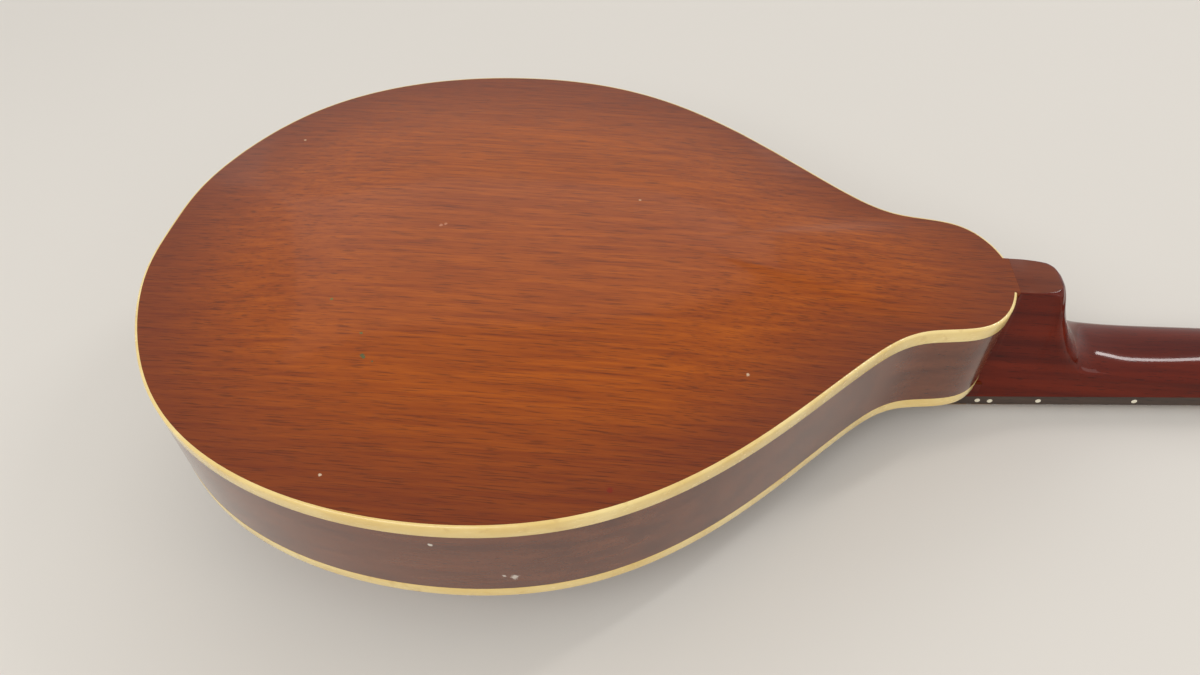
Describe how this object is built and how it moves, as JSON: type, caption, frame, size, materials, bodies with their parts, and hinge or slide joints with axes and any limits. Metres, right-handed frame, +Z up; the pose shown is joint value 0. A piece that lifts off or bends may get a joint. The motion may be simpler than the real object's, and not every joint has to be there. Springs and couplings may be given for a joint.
{
  "type": "a-style mandolin",
  "caption": "Teardrop-bodied mandolin lying on its front, with bound arched plates, a glued heel neck, worm tuners, adjustable bridge and string tailpiece.",
  "frame": {"origin": "centre of the bounding box's lowest face, on the surface that the instrument lies on, face down on its bridge saddle and its first two tuning posts", "axes": "+X from the tail to the headstock, +Z up, out of the back; the bass side is -Y and the treble side +Y; the body itself slopes down towards the headstock by the few degrees at which it lies"},
  "size_m": [0.665, 0.2598, 0.0891],
  "materials": {
    "back_mahogany": "gloss",
    "rib_mahogany": "gloss",
    "sunburst_spruce": "gloss",
    "ivory_binding": "gloss",
    "lining_wood": "matte",
    "inner_wood": "matte",
    "neck_mahogany": "gloss",
    "rosewood_board": "satin",
    "bridge_rosewood": "satin",
    "black_veneer": "gloss",
    "bone": "satin",
    "rod_steel": "satin",
    "brass": "satin",
    "nickel": "satin",
    "string_metal": "satin",
    "cream_button": "gloss",
    "black_plastic": "gloss",
    "tortoise_plastic": "gloss"
  },
  "bodies": {
    "mandolin": {"back_binding_bass": "ivory_binding", "back_binding_treble": "ivory_binding", "back_lining_bass": "lining_wood", "back_lining_treble": "lining_wood", "back_plate": "back_mahogany", "bridge_base": "bridge_rosewood", "bridge_stud_bass": "brass", "bridge_stud_treble": "brass", "end_pin": "black_plastic", "fingerboard": "rosewood_board", "headstock_veneer": "black_veneer", "neck": "neck_mahogany", "neck_block": "inner_wood", "nut": "bone", "pickguard": "tortoise_plastic", "pickguard_bracket": "nickel", "rib_bass": "rib_mahogany", "rib_treble": "rib_mahogany", "string_a1": "string_metal", "string_a2": "string_metal", "string_d1": "string_metal", "string_d2": "string_metal", "string_e1": "string_metal", "string_e2": "string_metal", "string_g1": "string_metal", "string_g2": "string_metal", "tail_block": "inner_wood", "tailpiece": "nickel", "tone_bar_bass": "inner_wood", "tone_bar_treble": "inner_wood", "top_binding_bass": "ivory_binding", "top_binding_treble": "ivory_binding", "top_lining_bass": "lining_wood", "top_lining_treble": "lining_wood", "top_plate": "sunburst_spruce", "truss_rod": "rod_steel", "truss_rod_cover": "black_plastic", "tuner_plate_bass": "nickel", "tuner_plate_treble": "nickel"},
    "saddle": {"bridge_saddle": "bridge_rosewood"},
    "thumbwheel_bass": {"thumbwheel_bass": "brass"},
    "thumbwheel_treble": {"thumbwheel_treble": "brass"},
    "tailpiece_cover": {"tailpiece_cover": "nickel"},
    "truss_rod_nut": {"truss_rod_nut": "brass"},
    "tuner_key_bass_1": {"tuner_key_bass_1": "cream_button"},
    "tuner_post_bass_1": {"tuner_post_bass_1": "nickel"},
    "tuner_key_bass_2": {"tuner_key_bass_2": "cream_button"},
    "tuner_post_bass_2": {"tuner_post_bass_2": "nickel"},
    "tuner_key_bass_3": {"tuner_key_bass_3": "cream_button"},
    "tuner_post_bass_3": {"tuner_post_bass_3": "nickel"},
    "tuner_key_bass_4": {"tuner_key_bass_4": "cream_button"},
    "tuner_post_bass_4": {"tuner_post_bass_4": "nickel"},
    "tuner_key_treble_1": {"tuner_key_treble_1": "cream_button"},
    "tuner_post_treble_1": {"tuner_post_treble_1": "nickel"},
    "tuner_key_treble_2": {"tuner_key_treble_2": "cream_button"},
    "tuner_post_treble_2": {"tuner_post_treble_2": "nickel"},
    "tuner_key_treble_3": {"tuner_key_treble_3": "cream_button"},
    "tuner_post_treble_3": {"tuner_post_treble_3": "nickel"},
    "tuner_key_treble_4": {"tuner_key_treble_4": "cream_button"},
    "tuner_post_treble_4": {"tuner_post_treble_4": "nickel"}
  },
  "joints": [
    {"name": "saddle_height", "type": "slide", "parent": "mandolin", "child": "saddle", "axis": [0.0777, 0, 0.997], "range_m": [0, 0.002]},
    {"name": "thumbwheel_bass_turn", "type": "hinge", "parent": "saddle", "child": "thumbwheel_bass", "pos_m": [-0.16519, -0.028, 0.01071], "axis": [0.0777, 0, 0.997], "range_deg": [-5, 905]},
    {"name": "thumbwheel_treble_turn", "type": "hinge", "parent": "saddle", "child": "thumbwheel_treble", "pos_m": [-0.16519, 0.028, 0.01071], "axis": [0.0777, 0, 0.997], "range_deg": [-5, 905]},
    {"name": "tailpiece_cover_slide", "type": "slide", "parent": "mandolin", "child": "tailpiece_cover", "axis": [-0.997, 0, 0.0777], "range_m": [0, 0.056]},
    {"name": "truss_rod_nut_turn", "type": "hinge", "parent": "mandolin", "child": "truss_rod_nut", "pos_m": [0.19464, 0, 0.01429], "axis": [1, 0, -0.0048], "range_deg": [-180, 180]},
    {"name": "key_bass_1_turn", "type": "hinge", "parent": "mandolin", "child": "tuner_key_bass_1", "pos_m": [0.23339, -0.0165, 0.03609], "axis": [0, 1, 0], "continuous": true},
    {"name": "post_bass_1_turn", "type": "hinge", "parent": "mandolin", "child": "tuner_post_bass_1", "pos_m": [0.22974, -0.0165, 0.01625], "axis": [-0.2372, 0, 0.9714], "continuous": true},
    {"name": "key_bass_2_turn", "type": "hinge", "parent": "mandolin", "child": "tuner_key_bass_2", "pos_m": [0.25593, -0.0165, 0.04159], "axis": [0, 1, 0], "continuous": true},
    {"name": "post_bass_2_turn", "type": "hinge", "parent": "mandolin", "child": "tuner_post_bass_2", "pos_m": [0.25228, -0.0165, 0.02176], "axis": [-0.2372, 0, 0.9714], "continuous": true},
    {"name": "key_bass_3_turn", "type": "hinge", "parent": "mandolin", "child": "tuner_key_bass_3", "pos_m": [0.27846, -0.0165, 0.04709], "axis": [0, 1, 0], "continuous": true},
    {"name": "post_bass_3_turn", "type": "hinge", "parent": "mandolin", "child": "tuner_post_bass_3", "pos_m": [0.27481, -0.0165, 0.02726], "axis": [-0.2372, 0, 0.9714], "continuous": true},
    {"name": "key_bass_4_turn", "type": "hinge", "parent": "mandolin", "child": "tuner_key_bass_4", "pos_m": [0.301, -0.0165, 0.0526], "axis": [0, 1, 0], "continuous": true},
    {"name": "post_bass_4_turn", "type": "hinge", "parent": "mandolin", "child": "tuner_post_bass_4", "pos_m": [0.29735, -0.0165, 0.03277], "axis": [-0.2372, 0, 0.9714], "continuous": true},
    {"name": "key_treble_1_turn", "type": "hinge", "parent": "mandolin", "child": "tuner_key_treble_1", "pos_m": [0.23339, 0.0165, 0.03609], "axis": [0, 1, 0], "continuous": true},
    {"name": "post_treble_1_turn", "type": "hinge", "parent": "mandolin", "child": "tuner_post_treble_1", "pos_m": [0.22974, 0.0165, 0.01625], "axis": [-0.2372, 0, 0.9714], "continuous": true},
    {"name": "key_treble_2_turn", "type": "hinge", "parent": "mandolin", "child": "tuner_key_treble_2", "pos_m": [0.25593, 0.0165, 0.04159], "axis": [0, 1, 0], "continuous": true},
    {"name": "post_treble_2_turn", "type": "hinge", "parent": "mandolin", "child": "tuner_post_treble_2", "pos_m": [0.25228, 0.0165, 0.02176], "axis": [-0.2372, 0, 0.9714], "continuous": true},
    {"name": "key_treble_3_turn", "type": "hinge", "parent": "mandolin", "child": "tuner_key_treble_3", "pos_m": [0.27846, 0.0165, 0.04709], "axis": [0, 1, 0], "continuous": true},
    {"name": "post_treble_3_turn", "type": "hinge", "parent": "mandolin", "child": "tuner_post_treble_3", "pos_m": [0.27481, 0.0165, 0.02726], "axis": [-0.2372, 0, 0.9714], "continuous": true},
    {"name": "key_treble_4_turn", "type": "hinge", "parent": "mandolin", "child": "tuner_key_treble_4", "pos_m": [0.301, 0.0165, 0.0526], "axis": [0, 1, 0], "continuous": true},
    {"name": "post_treble_4_turn", "type": "hinge", "parent": "mandolin", "child": "tuner_post_treble_4", "pos_m": [0.29735, 0.0165, 0.03277], "axis": [-0.2372, 0, 0.9714], "continuous": true}
  ],
  "couplings": [
    {"joint": "thumbwheel_bass_turn", "follows": "saddle_height", "rad_per_m": 7854},
    {"joint": "thumbwheel_treble_turn", "follows": "saddle_height", "rad_per_m": 7854},
    {"joint": "post_bass_1_turn", "follows": "key_bass_1_turn", "ratio": 0.071429},
    {"joint": "post_bass_2_turn", "follows": "key_bass_2_turn", "ratio": 0.071429},
    {"joint": "post_bass_3_turn", "follows": "key_bass_3_turn", "ratio": 0.071429},
    {"joint": "post_bass_4_turn", "follows": "key_bass_4_turn", "ratio": 0.071429},
    {"joint": "post_treble_1_turn", "follows": "key_treble_1_turn", "ratio": 0.071429},
    {"joint": "post_treble_2_turn", "follows": "key_treble_2_turn", "ratio": 0.071429},
    {"joint": "post_treble_3_turn", "follows": "key_treble_3_turn", "ratio": 0.071429},
    {"joint": "post_treble_4_turn", "follows": "key_treble_4_turn", "ratio": 0.071429}
  ]
}
